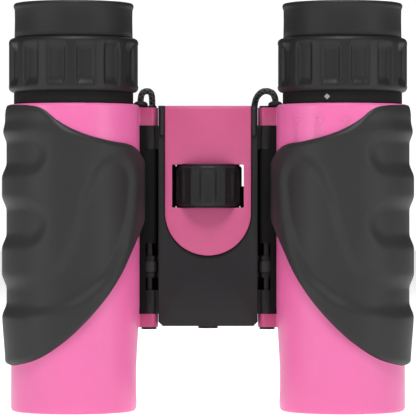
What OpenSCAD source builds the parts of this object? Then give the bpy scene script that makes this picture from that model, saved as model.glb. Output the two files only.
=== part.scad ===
// Compact folding binoculars with roof prisms and a double hinge.
// They stand on both objective rims: +Z runs up the optical axis to the eyepieces, +X is the
// user's right, and the underside faces -Y. The origin is midway between the two rims.

/* [Barrels] */
// Radius of the tube at the objective rim
rim_r = 17; // [16.5:0.1:17.2]
// Radius of the housing above its taper
body_r = 17.9; // [17.6:0.1:18.4]
// Radius of the bore through each housing
bore_r = 14.8; // [14:0.1:15.2]
// Height of the housing, objective rim to shoulder
housing_h = 83; // [83:0.5:90]
// Height at which the housing reaches its full radius
taper_h = 28; // [18:0.5:32]
// Thickness of the rubber armour on its flats
armour_t = 0.4; // [0.3:0.05:0.8]
// How far the finger ridges stand above the flats
ridge_h = 1.2; // [0.4:0.1:1.4]

/* [Eyepieces] */
// Height of the collar between housing and grip ring
collar_h = 3.3; // [2:0.1:5]
// Height of the fluted grip ring
grip_h = 14.7; // [10:0.1:18]
// Radius of the fluted grip ring
grip_r = 17.6; // [16.6:0.1:18]
// Number of flutes round the grip ring
flutes = 14; // [8:1:20]
// Height of the soft eyecup above the grip ring
cup_h = 9.5; // [7:0.1:12]
// Radius of the soft eyecup
cup_r = 16.3; // [15.5:0.1:17]

/* [Bridge] */
// Width of the rail on each side of the cover plate
rail_w = 1.8; // [1.2:0.1:3]
// Width of the cover plate on each side of the wheel window
plate_side = 1.9; // [1.5:0.1:4]
// Room between each housing and the plane of its hinge axis
hinge_gap = 2.4; // [2.4:0.1:6]
// Height of the bridge body
bridge_h = 60.3; // [58:0.1:61]
// Depth of the bridge body, front to back
bridge_d = 10.1; // [9.6:0.1:12]
// Thickness of the cover plate
tongue_t = 1.8; // [1.2:0.1:2]
// Height of the wheel window
window_h = 12; // [10:0.1:14]
// Radius of the hinge shafts
shaft_r = 1.5; // [1.2:0.05:1.6]
// Distance of the hinge axes behind the optical axes
hinge_y = 8; // [8:0.1:9]

/* [Focus] */
// Radius of the focus wheel over its rubber tyre
wheel_r = 9.3; // [8.5:0.1:9.3]
// Thickness of the rubber tyre
tyre_t = 1.6; // [1:0.1:2.5]
// Travel of the focusing lenses each way from the middle
focus_travel = 3; // [1:0.1:3]
// Radius of the focus screw
screw_r = 1.8; // [1.4:0.1:2]

/* [Strap] */
// Diameter of the strap cord
cord_d = 1.8; // [1.4:0.1:2]

/* [Hidden] */
$fn = 96;
e = 0.01;

// Clearances
run_c = 0.05;
seat_c = 0.02;
gap_c = 0.15;

// Barrel and hinge places: the wheel sets the bridge's width, and that the hinges and barrels
window_w = 2 * wheel_r + 1.2;
tongue_w = window_w + 2 * plate_side;
bridge_w = tongue_w + 2 * rail_w;
bridge_top = housing_h;
bridge_bot = bridge_top - bridge_h;
arm_r = 2.5;
hinge_x = bridge_w / 2 + arm_r + 0.1;
hinge_dx = -(body_r + hinge_gap);
barrel_x = hinge_x - hinge_dx;
arm_root_x = -(bore_r - 4.8);
hinge_dir = atan2(hinge_y, hinge_dx);
bridge_y0 = hinge_y - 2.6;
bridge_y1 = bridge_y0 + bridge_d;
bridge_yc = (bridge_y0 + bridge_y1) / 2;

// Heights of the hinge arms and of the bridge's knuckles between them
arm_lo0 = bridge_bot - 0.3;
arm_lo1 = arm_lo0 + 3.6;
arm_hi1 = bridge_top - 0.5;
arm_hi0 = arm_hi1 - 4.9;
knuckle_r = arm_r - 0.05;
knuckle_h = 6.5;
knuckle_lo1 = arm_lo1 + run_c + knuckle_h;
knuckle_hi0 = arm_hi0 - run_c - knuckle_h;
arm_back = 6;

// Wheel and focus drive
wheel_y = bridge_yc - 0.45;
window_z0 = bridge_top - 28;
wheel_h = window_h - 0.8;
drive_z = knuckle_lo1 + focus_travel + 3.4;
yoke_t = 1.4;
yoke_gap = 3;
yoke_h = yoke_gap + 2 * yoke_t + 0.2;
bush_r = 3.4;

// Optics, bottom to top
ring_z = 5;
ring_h = 1.6;
cell_z = ring_z + ring_h;
cell_h = 9.4;
lens_r = bore_r - 2.3;
focus_lens_r = bore_r - 5.8;
cage_z = drive_z + yoke_h / 2 + focus_travel + 5;
stop_z = housing_h - 6;
stop_h = 2;
tube_r = 11.5;
ocular_r = 10;
ocular_z = housing_h - 1;
grip_z = housing_h + collar_h;
cup_z = grip_z + grip_h;
ocular_h = cup_z + 3 - ocular_z;

// Armour
flat_r = body_r + armour_t;
ridge_r = flat_r + ridge_h;
armour_z0 = 12.4;
edge_x = ridge_r + 5.5;
sweep_r = 50.6;
sweep_x = sweep_r - flat_r - 0.8;

// Strap, its coil and its route: round numbers, hand placed
cord_r = cord_d / 2;
coil_x = 37;
coil_y = 39;
coil_mid_r = 9.9;
coil_w = 10.8;
coil_z0 = 0.4;
coil_h = 2 * cord_d;
loop_left_route = [
  [-18.6, 12.6, 82.6], [-18.6, 12.6, 84.6], [-18.4, 12.7, 86.1], [-17.9, 12.8, 86.9],
  [-17.3, 12.9, 87.2]];
cord_left_route = [
  [-16.3, 13.1, 87.2], [-15.8, 13.3, 86.8], [-15.5, 13.5, 85.8], [-15.4, 13.8, 83.5],
  [-15.4, 14.3, 80], [-15.2, 15.2, 74], [-14.8, 16.3, 67], [-13.6, 17.1, 60], [-11.5, 17.2, 54],
  [-8.5, 17.2, 48.5], [-4.5, 17.2, 43.2], [0.5, 17.2, 38.2], [5.5, 17.2, 34], [10.5, 17.2, 31],
  [14.2, 16.9, 29.2], [16, 15.4, 28], [17.8, 14, 27.1], [19.3, 13.8, 27], [20.6, 14.9, 26.6],
  [21.6, 16.1, 24.4], [22.2, 17.4, 18], [22.2, 18.3, 11], [22, 19, 6], [21.9, 20.8, 2.3],
  [22, 24, 1.2], [22.3, 29, 1.3], [22.6, 34, 1.3], [22.6, 39, 1.3]];
loop_right_route = [
  [18.6, 12.6, 82.6], [18.6, 12.6, 84.6], [18.3, 12.7, 85.9], [17.8, 12.9, 86.7],
  [17.1, 13.1, 87.1]];
cord_right_route = [
  [16.1, 13.4, 87.3], [14.8, 14.1, 87], [13.4, 15.4, 85.4], [12.8, 16.5, 82.4], [12.7, 16.9, 77],
  [12.7, 17.1, 70], [12.7, 17.1, 62], [12.8, 17.1, 54], [13, 17.1, 46], [13.6, 17, 39],
  [15, 17, 34], [17.3, 16.6, 31], [20, 16.4, 29.4], [22.6, 17.4, 27], [24, 19, 23],
  [24.3, 19.8, 17], [24.4, 20, 11], [24.8, 20.2, 6], [26.6, 20.6, 2.5], [29.5, 21, 1.9]];
end_left_route = [
  [51.4, 39, 3.1], [51.2, 34.5, 2.9], [50.2, 30, 2.4], [48, 25.8, 1.9], [44.5, 22.6, 1.9],
  [40.5, 21.2, 1.9], [37.5, 21, 1.9]];

// Places a piece, drawn for the right barrel about its own optical axis
module right() {
  translate([barrel_x, 0, 0]) children();
}

module left() {
  mirror([1, 0, 0]) right() children();
}

// Both hinge axes of the bridge
module at_hinges() {
  for (s = [-1, 1]) {
    translate([s * hinge_x, hinge_y, 0]) children();
  }
}

module ring(r1, r0, z, h) {
  translate([0, 0, z]) difference() {
    cylinder(r = r1, h = h);
    translate([0, 0, -1]) cylinder(r = r0, h = h + 2);
  }
}

module box(x0, x1, y0, y1, z0, z1) {
  translate([x0, y0, z0]) cube([x1 - x0, y1 - y0, z1 - z0]);
}

// A lens whose faces are spheres of the given sags, about a rim of height h
module lens(r, z, h, sag_lo, sag_hi) {
  rl = (r * r + sag_lo * sag_lo) / (2 * sag_lo);
  rh = (r * r + sag_hi * sag_hi) / (2 * sag_hi);
  translate([0, 0, z]) intersection() {
    translate([0, 0, -sag_lo]) cylinder(r = r, h = h + sag_lo + sag_hi);
    translate([0, 0, rl - sag_lo]) sphere(r = rl, $fn = 250);
    translate([0, 0, h + sag_hi - rh]) sphere(r = rh, $fn = 250);
  }
}

// ---- Cord: one tube swept along a route ----
function unit(v) = v / norm(v);
function heading(p, i) = unit(p[min(i + 1, len(p) - 1)] - p[max(i - 1, 0)]);
function across(u, t) = unit(u - t * (u * t));
function carried(p, i, u) = i == len(p) ? [] :
  let (w = across(u, heading(p, i))) concat([w], carried(p, i + 1, w));

module cord_tube(p) {
  sides = 8;
  us = carried(p, 0, [0.6, 0.8, 0.1]);
  rings = [for (i = [0 : len(p) - 1]) let (t = heading(p, i), v = cross(t, us[i]))
    for (k = [0 : sides - 1]) p[i] + cord_r * (cos(360 * k / sides) * us[i]
      + sin(360 * k / sides) * v)];
  last = (len(p) - 1) * sides;
  skin = [for (i = [0 : len(p) - 2]) for (k = [0 : sides - 1]) let (a = i * sides + k,
    b = i * sides + (k + 1) % sides) [a, a + sides, b + sides, b]];
  ends = [[for (k = [0 : sides - 1]) k], [for (k = [sides - 1 : -1 : 0]) last + k]];
  polyhedron(points = rings, faces = concat(skin, ends), convexity = 6);
}

// ---- Bridge ----
// The tongue's outline, a strip that ends below in a half circle, seen along Y
module tongue(w, y0, y1, top) {
  mid = window_z0 - 1.2;
  translate([0, y1, mid]) rotate([90, 0, 0]) cylinder(r = w / 2, h = y1 - y0);
  box(-w / 2, w / 2, y0, y1, mid, top);
}

module window(extra) {
  box(-window_w / 2 - extra, window_w / 2 + extra, -1, 30,
    window_z0 - extra, window_z0 + window_h + extra);
}

module bridge_knuckles() {
  at_hinges() {
    translate([0, 0, arm_lo1 + run_c]) cylinder(r = knuckle_r, h = knuckle_h);
    translate([0, 0, knuckle_hi0]) cylinder(r = knuckle_r, h = knuckle_h);
  }
  for (z = [arm_lo1 + run_c, knuckle_hi0]) {
    box(-hinge_x, hinge_x, hinge_y - 1.6, hinge_y + 1.6, z, z + knuckle_h);
  }
}

module rear_plate_place(y0, y1, c) {
  half = tongue_w / 2 - 1;
  box(-half - c, half + c, y0, y1, bridge_bot + 4 - c, bridge_top - 4 + c);
}

screw_x = tongue_w / 2 - 3.2;
screw_places = [for (x = [-screw_x, screw_x]) for (z = [bridge_bot + 8, bridge_top - 8]) [x, z]];

module at_plate_screws() {
  for (p = screw_places) {
    translate([p[0], bridge_y1, p[1]]) rotate([90, 0, 0]) children();
  }
}

module bridge_body() {
  drive_room = focus_travel + yoke_h / 2 + 0.3;
  room_x = tongue_w / 2 - 0.4;
  color([0.14, 0.14, 0.15]) difference() {
    union() {
      rotate([90, 0, 0]) translate([0, 0, -bridge_y1]) linear_extrude(bridge_d) polygon([
        [-bridge_w / 2 + 1.2, bridge_bot], [bridge_w / 2 - 1.2, bridge_bot],
        [bridge_w / 2, bridge_bot + 1.2], [bridge_w / 2, bridge_top],
        [-bridge_w / 2, bridge_top], [-bridge_w / 2, bridge_bot + 1.2]]);
      bridge_knuckles();
    }
    at_hinges() translate([0, 0, -1]) cylinder(r = shaft_r, h = housing_h + 2);
    window(0);
    tongue(tongue_w + 0.4, bridge_y0 - 1, bridge_y0 - 0.6 + tongue_t, bridge_top + 1);
    rear_plate_place(bridge_y1 - 1, bridge_y1 + 1, seat_c);
    // room for the carriage, and the side slots that its yokes reach through
    box(-room_x, room_x, wheel_y - 2.9, wheel_y + 3.2, drive_z - drive_room, drive_z + drive_room);
    box(-bridge_w, bridge_w, hinge_y - 0.9, hinge_y + 0.9,
      drive_z - drive_room, drive_z + drive_room);
    translate([0, wheel_y, bridge_bot - 1]) cylinder(r = bush_r, h = 6.5);
    translate([0, wheel_y, 0]) cylinder(r = screw_r + 0.3, h = bridge_top - 8);
    translate([0, wheel_y, window_z0 + window_h + 2]) cylinder(r = bush_r, h = 6);
    translate([0, wheel_y, window_z0 + window_h - 1]) cylinder(r = bush_r, h = 4);
    at_plate_screws() cylinder(r = 0.8, h = 4.5);
  }
}

module cover_plate() {
  color([0.78, 0.37, 0.53]) difference() {
    tongue(tongue_w, bridge_y0 - 0.6, bridge_y0 - 0.6 + tongue_t, bridge_top);
    window(-0.1);
    translate([0, bridge_y0 - 0.6, bridge_top]) rotate([45, 0, 0]) cube([40, 1, 1], center = true);
  }
}

module rear_plate() {
  color([0.14, 0.14, 0.15]) difference() {
    rear_plate_place(bridge_y1 - 1, bridge_y1, 0);
    window(0.3);
    at_plate_screws() {
      translate([0, 0, -1]) cylinder(r = 0.85, h = 4);
      translate([0, 0, -e]) cylinder(r = 1.6 + seat_c, h = 0.5 + e);
    }
  }
}

module plate_screws() {
  color([0.5, 0.5, 0.52]) at_plate_screws() difference() {
    union() {
      cylinder(r = 1.6, h = 0.5);
      cylinder(r = 0.78, h = 4.2);
    }
    for (a = [0, 90]) {
      rotate([0, 0, a]) cube([1.9, 0.4, 0.5], center = true);
    }
  }
}

module hinge_shafts() {
  color([0.6, 0.6, 0.62]) at_hinges() {
    translate([0, 0, arm_lo0 - 0.5]) cylinder(r = shaft_r, h = arm_hi1 - arm_lo0 + 1);
    translate([0, 0, arm_lo0 - 0.6]) cylinder(r = shaft_r + 0.6, h = 0.6 - run_c);
    translate([0, 0, arm_hi1 + run_c]) cylinder(r = shaft_r + 0.6, h = 0.45);
  }
}

module focus_bushes() {
  color([0.14, 0.14, 0.15]) translate([0, wheel_y, 0]) {
    ring(bush_r - seat_c, screw_r + run_c, window_z0 + window_h + 2, 6 - seat_c);
    ring(bush_r - seat_c, screw_r + run_c, bridge_bot, 5.5 - seat_c);
    translate([0, 0, bridge_bot - 0.7]) cylinder(r = 2.7, h = 0.7);
  }
}

// ---- Focus drive ----
module focus_wheel() {
  color([0.15, 0.15, 0.16]) translate([0, wheel_y, window_z0 + 0.4]) difference() {
    cylinder(r = wheel_r - tyre_t, h = wheel_h);
    translate([0, 0, -1]) cylinder(r = screw_r, h = wheel_h + 2);
  }
}

module focus_tyre() {
  color([0.2, 0.2, 0.21]) translate([0, wheel_y, window_z0 + 0.4]) difference() {
    cylinder(r = wheel_r, h = wheel_h);
    translate([0, 0, -1]) cylinder(r = wheel_r - tyre_t, h = wheel_h + 2);
    for (a = [0 : 20 : 340]) {
      rotate([0, 0, a]) translate([wheel_r + 2.6, 0, 1]) cylinder(r = 2.8, h = wheel_h - 2);
    }
  }
}

module focus_screw() {
  top = window_z0 + window_h + 8;
  color([0.62, 0.62, 0.64]) translate([0, wheel_y, bridge_bot + 0.1]) {
    cylinder(r = screw_r, h = top - bridge_bot - 0.3);
  }
}

module focus_carriage() {
  color([0.55, 0.56, 0.58]) difference() {
    union() {
      box(-6, 6, wheel_y - 2.7, wheel_y + 2.9, drive_z - yoke_h / 2, drive_z + yoke_h / 2);
      for (z = [drive_z - yoke_h / 2, drive_z + yoke_h / 2 - yoke_t]) {
        box(-hinge_x, hinge_x, hinge_y - 0.7, hinge_y + 0.7, z, z + yoke_t);
        at_hinges() translate([0, 0, z]) cylinder(r = knuckle_r - 0.1, h = yoke_t);
      }
    }
    translate([0, wheel_y, 0]) cylinder(r = screw_r + run_c, h = housing_h);
    at_hinges() cylinder(r = shaft_r + run_c, h = housing_h);
  }
}

// ---- Barrel pieces, drawn for the right barrel about its optical axis ----
function housing_profile() = [[0, 0], [rim_r - 0.9, 0], [rim_r - 0.25, 0.3], [rim_r, 1],
  [rim_r, taper_h - 16], [body_r, taper_h], [body_r, housing_h - 0.6],
  [body_r - 0.6, housing_h], [0, housing_h]];

module hinge_arm(z0, z1) {
  translate([hinge_dx, hinge_y, z0]) cylinder(r = arm_r, h = z1 - z0);
  box(hinge_dx, arm_root_x, hinge_y - arm_r, hinge_y + arm_r, z0, z1);
  box(hinge_dx + 1.2, arm_root_x, hinge_y, hinge_y + arm_back, z0, z1);
}

// The focusing lever's path, from the hinge to the optical axis
module lever_bar(w, z0, z1) {
  translate([hinge_dx, hinge_y, z0]) rotate([0, 0, hinge_dir + 180])
    translate([0, -w / 2, 0]) cube([norm([hinge_dx, hinge_y]) - bore_r + 2, w, z1 - z0]);
}

lever_z0 = drive_z - yoke_gap / 2;
lever_z1 = drive_z + yoke_gap / 2;
lever_room = focus_travel + 0.3;

// One raised mark of the dioptre scale, lying on the shoulder at a given angle
module scale_mark(a, w, h) {
  rotate([0, 0, a]) translate([0, -body_r - 0.2, housing_h - 4.4])
    translate([-w / 2, 0, -h / 2]) cube([w, 1, h]);
}

module scale_marks() {
  scale_mark(-46, 2.6, 0.6);
  scale_mark(0, 2.8, 0.6);
  scale_mark(0, 0.6, 2.8);
  rotate([0, 0, -23]) translate([0, -body_r + 0.8, housing_h - 4.4]) rotate([90, 0, 0])
    difference() {
      cylinder(r = 1.4, h = 1);
      translate([0, 0, -1]) cylinder(r = 0.85, h = 3);
    }
}

module housing(scale) {
  color([0.96, 0.47, 0.68]) difference() {
    union() {
      rotate_extrude() polygon(housing_profile());
      hinge_arm(arm_lo0, arm_lo1);
      hinge_arm(arm_hi0, arm_hi1);
      if (scale) {
        scale_marks();
      }
    }
    translate([0, 0, -1]) cylinder(r = bore_r, h = housing_h + 2);
    translate([hinge_dx, hinge_y, 0]) cylinder(r = shaft_r + run_c, h = housing_h);
    lever_bar(2.8, lever_z0 - lever_room, lever_z1 + lever_room);
  }
}

// Ring section of the armour: flats, and a ridge above and below each finger place
function armour_profile() = [
  [rim_r, armour_z0 - 1], [rim_r, taper_h - 16], [body_r, taper_h], [body_r, housing_h - 0.4],
  [flat_r, housing_h - 0.1], [flat_r + 0.3, housing_h - 6], [flat_r, housing_h - 8.5],
  [flat_r, housing_h - 16], [ridge_r, housing_h - 20.5], [ridge_r, housing_h - 24],
  [flat_r, housing_h - 27.5], [flat_r, housing_h - 36], [ridge_r, housing_h - 39],
  [ridge_r, housing_h - 44], [flat_r, housing_h - 48], [flat_r, housing_h - 55],
  [flat_r + 0.9, housing_h - 59], [rim_r + 1.2, armour_z0 + 1]];

module armour() {
  top = housing_h;
  color([0.23, 0.23, 0.24]) difference() {
    intersection() {
      rotate_extrude() polygon(armour_profile());
      translate([sweep_x, edge_x, top - 22.3]) rotate([90, 0, 0]) cylinder(r = sweep_r, h = 2 * edge_x);
      rotate([90, 0, 0]) translate([0, 0, -edge_x]) linear_extrude(2 * edge_x) polygon([
        [-edge_x, top - 11.4], [-0.85 * flat_r, top - 11], [-0.6 * flat_r, top - 10.2],
        [-0.28 * flat_r, top - 8.7], [-0.01 * flat_r, top - 6.8], [0.22 * flat_r, top - 4.3],
        [0.39 * flat_r, top - 1.8], [0.56 * flat_r, top - 0.7], [edge_x, top + 0.3],
        [edge_x, armour_z0], [-edge_x, armour_z0]]);
    }
    box(-2 * body_r, -5, hinge_y - arm_r - 0.6, hinge_y + arm_back + 0.6, -1, housing_h + 1);
  }
}

module hinge_cover() {
  z0 = arm_lo1 + run_c;
  z1 = arm_hi0 - run_c;
  cut_r = knuckle_r + gap_c;
  color([0.1, 0.1, 0.11]) difference() {
    union() {
      translate([hinge_dx, hinge_y, z0]) cylinder(r = knuckle_r, h = z1 - z0);
      box(hinge_dx, -bore_r + 0.3, hinge_y - knuckle_r, hinge_y + knuckle_r, z0, z1);
    }
    translate([0, 0, -1]) cylinder(r = body_r, h = housing_h + 2);
    translate([hinge_dx, hinge_y, 0]) cylinder(r = shaft_r + run_c, h = housing_h);
    translate([hinge_dx, hinge_y, 0]) cylinder(r = cut_r, h = lever_z1 + lever_room + yoke_t + 0.2);
    translate([hinge_dx, hinge_y, knuckle_hi0 - gap_c]) cylinder(r = cut_r, h = housing_h);
    lever_bar(2.8, lever_z0 - lever_room, lever_z1 + lever_room);
  }
}

module strap_lug() {
  x = 18.6 - barrel_x;
  color([0.12, 0.12, 0.13]) difference() {
    union() {
      translate([x, 12.6, arm_hi1]) cylinder(r = 2, h = 1.3);
      translate([x, 12.6, arm_hi1 + 1.3]) cylinder(r1 = 2, r2 = 1.3, h = 0.6);
    }
    translate([x, 12.6, arm_hi1 - 1]) cylinder(r = cord_r, h = 5);
  }
}

module objective_ring() {
  color([0.1, 0.1, 0.1]) ring(bore_r - seat_c, lens_r - 0.4, ring_z, ring_h);
}

module objective_cell() {
  color([0.12, 0.12, 0.12]) {
    ring(bore_r - seat_c, lens_r + seat_c, cell_z, cell_h);
    ring(bore_r - seat_c, lens_r - 0.6, cell_z + cell_h, 1);
  }
}

module objective_crown() {
  color([0.55, 0.75, 0.7, 0.5]) lens(lens_r, cell_z + 2.2, 2.4, 1.4, 1.6);
}

module objective_flint() {
  sag = 1.6;
  rs = (lens_r * lens_r + sag * sag) / (2 * sag);
  z = cell_z + 4.6;
  color([0.55, 0.75, 0.7, 0.5]) difference() {
    translate([0, 0, z]) cylinder(r = lens_r, h = cell_z + cell_h - z);
    translate([0, 0, z + sag - rs]) sphere(r = rs, $fn = 250);
  }
}

module focus_cell() {
  h = 7;
  color([0.2, 0.2, 0.2]) difference() {
    union() {
      translate([0, 0, drive_z - h / 2]) cylinder(r = bore_r - run_c, h = h);
      lever_bar(2.4, lever_z0 + run_c, lever_z1 - run_c);
      translate([hinge_dx, hinge_y, lever_z0 + run_c])
        cylinder(r = knuckle_r - 0.1, h = yoke_gap - 2 * run_c);
    }
    cylinder(r = focus_lens_r, h = housing_h);
    translate([hinge_dx, hinge_y, 0]) cylinder(r = shaft_r + run_c, h = housing_h);
  }
}

module focus_lens() {
  color([0.55, 0.75, 0.7, 0.5]) lens(focus_lens_r - seat_c, drive_z - 1, 2, 0.6, 0.6);
}

module prism_cage() {
  h = stop_z - cage_z;
  color([0.16, 0.16, 0.17]) translate([0, 0, cage_z]) difference() {
    cylinder(r = bore_r - seat_c, h = h);
    translate([-9.2, -7.2, 1.5]) cube([18.4, 14.4, h]);
    translate([0, 0, -1]) cylinder(r = 7, h = h);
  }
}

module prism_block(points) {
  color([0.75, 0.85, 0.88, 0.5]) translate([0, 7, cage_z + 1.5]) rotate([90, 0, 0])
    linear_extrude(14) polygon(points);
}

module half_prism() {
  prism_block([[-9, 0], [9, 0], [9, 2.5], [-1.6, 7.4], [-9, 5]]);
}

module roof_prism() {
  prism_block([[-9, 5.6], [-1.6, 8], [9, 3.1], [9, 13], [3.6, 17.5], [-9, 17.5]]);
}

module field_stop() {
  color([0.1, 0.1, 0.1]) ring(bore_r - seat_c, 5.5, stop_z, stop_h);
}

module eyepiece_tube() {
  z = stop_z + stop_h;
  color([0.12, 0.12, 0.12]) {
    ring(bore_r - seat_c, ocular_r + run_c, z, housing_h - z);
    ring(tube_r, ocular_r + run_c, housing_h, cup_z - housing_h);
  }
}

module ocular_cell() {
  color([0.12, 0.12, 0.12]) {
    ring(ocular_r, 8.6, ocular_z, ocular_h);
    ring(8.6, 7.6, ocular_z + 7.6, 7);
  }
}

module field_lens() {
  color([0.55, 0.75, 0.7, 0.5]) lens(8.6 - seat_c, ocular_z + 3, 2.4, 1.2, 1.6);
}

module eye_lens() {
  color([0.55, 0.75, 0.7, 0.5]) lens(8.6 - seat_c, ocular_z + ocular_h - 4.4, 2, 1.6, 1.2);
}

module collar() {
  color([0.13, 0.13, 0.14]) ring(grip_r - 1.4, tube_r + run_c, housing_h + run_c,
    collar_h - run_c);
}

module grip_ring() {
  flute_r = 3.6;
  color([0.16, 0.16, 0.17]) difference() {
    rotate_extrude() polygon([[tube_r + run_c, grip_z], [grip_r - 1.3, grip_z],
      [grip_r, grip_z + 1.4], [grip_r, cup_z - 1.4], [grip_r - 1.3, cup_z],
      [tube_r + run_c, cup_z]]);
    for (k = [0 : flutes - 1]) {
      rotate([0, 0, 360 * k / flutes]) translate([grip_r + flute_r - 1, 0, grip_z + 2.4])
        cylinder(r = flute_r, h = grip_h - 4.8);
    }
  }
}

module eyecup() {
  lip = 0.7;
  color([0.2, 0.2, 0.21]) rotate_extrude() polygon([
    [ocular_r + 0.4, cup_z], [cup_r - 0.2, cup_z], [cup_r - 0.2, cup_z + cup_h - 1.5],
    [cup_r, cup_z + cup_h - lip], [cup_r - 0.3, cup_z + cup_h], [cup_r - 1.4, cup_z + cup_h],
    [cup_r - 2, cup_z + cup_h - lip], [cup_r - 2, cup_z + 2.4], [ocular_r + 0.4, cup_z + 1.6]]);
}

// ---- Strap ----
module strap_loop_left() {
  color([0.08, 0.08, 0.08]) cord_tube(loop_left_route);
}

module strap_loop_right() {
  color([0.08, 0.08, 0.08]) cord_tube(loop_right_route);
}

module strap_cord_left() {
  color([0.08, 0.08, 0.08]) {
    cord_tube(cord_left_route);
    cord_tube(end_left_route);
  }
}

module strap_cord_right() {
  color([0.08, 0.08, 0.08]) cord_tube(cord_right_route);
}

module strap_coil() {
  color([0.08, 0.08, 0.08]) translate([coil_x, coil_y, coil_z0])
    ring(coil_mid_r + coil_w / 2, coil_mid_r - coil_w / 2, 0, coil_h);
}

module strap_tie() {
  t = 0.4;
  x0 = coil_mid_r - coil_w / 2;
  x1 = coil_mid_r + coil_w / 2;
  color([0.2, 0.2, 0.2]) translate([coil_x, coil_y, 0]) rotate([0, 0, 90]) difference() {
    box(x0 - t, x1 + t, -1.5, 1.5, 0, coil_z0 + coil_h + t);
    translate([0, 0, coil_z0]) ring(x1, x0, 0, coil_h);
  }
}

module strap_ferrule() {
  color([0.3, 0.3, 0.31]) translate([29.5, 21, 1.9]) rotate([0, 90, 0]) cylinder(r = 1.9, h = 8);
}

bridge_body();
cover_plate();
rear_plate();
plate_screws();
hinge_shafts();
focus_bushes();
focus_wheel();
focus_tyre();
focus_screw();
focus_carriage();
left() housing(scale = false);  // left_housing
left() armour();  // left_armour
left() hinge_cover();  // left_hinge_cover
left() strap_lug();  // left_strap_lug
left() objective_ring();  // left_objective_ring
left() objective_cell();  // left_objective_cell
left() objective_crown();  // left_objective_crown
left() objective_flint();  // left_objective_flint
left() focus_cell();  // left_focus_cell
left() focus_lens();  // left_focus_lens
left() prism_cage();  // left_prism_cage
left() roof_prism();  // left_roof_prism
left() half_prism();  // left_half_prism
left() field_stop();  // left_field_stop
left() eyepiece_tube();  // left_eyepiece_tube
left() ocular_cell();  // left_ocular_cell
left() field_lens();  // left_field_lens
left() eye_lens();  // left_eye_lens
left() collar();  // left_collar
left() grip_ring();  // left_grip_ring
left() eyecup();  // left_eyecup
right() housing(scale = true);  // right_housing
right() armour();  // right_armour
right() hinge_cover();  // right_hinge_cover
right() strap_lug();  // right_strap_lug
right() objective_ring();  // right_objective_ring
right() objective_cell();  // right_objective_cell
right() objective_crown();  // right_objective_crown
right() objective_flint();  // right_objective_flint
right() focus_cell();  // right_focus_cell
right() focus_lens();  // right_focus_lens
right() prism_cage();  // right_prism_cage
right() roof_prism();  // right_roof_prism
right() half_prism();  // right_half_prism
right() field_stop();  // right_field_stop
right() eyepiece_tube();  // right_eyepiece_tube
right() ocular_cell();  // right_ocular_cell
right() field_lens();  // right_field_lens
right() eye_lens();  // right_eye_lens
right() collar();  // right_collar
right() grip_ring();  // right_grip_ring
right() eyecup();  // right_eyecup
strap_loop_left();
strap_loop_right();
strap_cord_left();
strap_cord_right();
strap_coil();
strap_tie();
strap_ferrule();
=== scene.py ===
"""Compact folding binoculars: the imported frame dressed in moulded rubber, plastic, glass and cord."""

import logging
import math
from dataclasses import dataclass, field
from enum import Enum
from typing import Any, Callable, Sequence

import bmesh
import bpy
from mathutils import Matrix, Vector


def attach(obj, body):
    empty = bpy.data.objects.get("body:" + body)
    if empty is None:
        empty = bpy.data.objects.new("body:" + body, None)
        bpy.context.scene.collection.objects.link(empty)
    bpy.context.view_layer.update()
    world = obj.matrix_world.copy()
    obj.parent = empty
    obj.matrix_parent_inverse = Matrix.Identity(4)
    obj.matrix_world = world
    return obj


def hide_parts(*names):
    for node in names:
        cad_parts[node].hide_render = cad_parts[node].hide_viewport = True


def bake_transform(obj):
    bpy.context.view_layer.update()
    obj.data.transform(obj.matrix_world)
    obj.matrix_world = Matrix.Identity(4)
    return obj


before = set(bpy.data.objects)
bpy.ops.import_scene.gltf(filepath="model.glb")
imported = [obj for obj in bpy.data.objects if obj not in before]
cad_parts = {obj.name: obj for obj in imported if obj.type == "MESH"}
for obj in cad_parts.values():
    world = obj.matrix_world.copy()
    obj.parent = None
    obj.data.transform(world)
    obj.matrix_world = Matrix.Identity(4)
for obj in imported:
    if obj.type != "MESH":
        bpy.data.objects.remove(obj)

LOG = logging.getLogger("binoculars")
MM = 0.001
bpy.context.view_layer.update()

Point = tuple[float, float, float]
Pair = tuple[float, float]


class Side(Enum):
    """Which barrel a piece belongs to, with the sign of its X."""

    LEFT = -1
    RIGHT = 1

    @property
    def word(self) -> str:
        """The side's name as the frame's nodes spell it."""
        return self.name.lower()

    @property
    def barrel(self) -> str:
        """The body that this side's fixed pieces ride on."""
        return f"{self.word}_barrel"


class Edge(Enum):
    """Angle in degrees past which an edge of a piece is shaded sharp."""

    SOFT = 60
    CRISP = 32


# ---- Finishes ----


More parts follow.
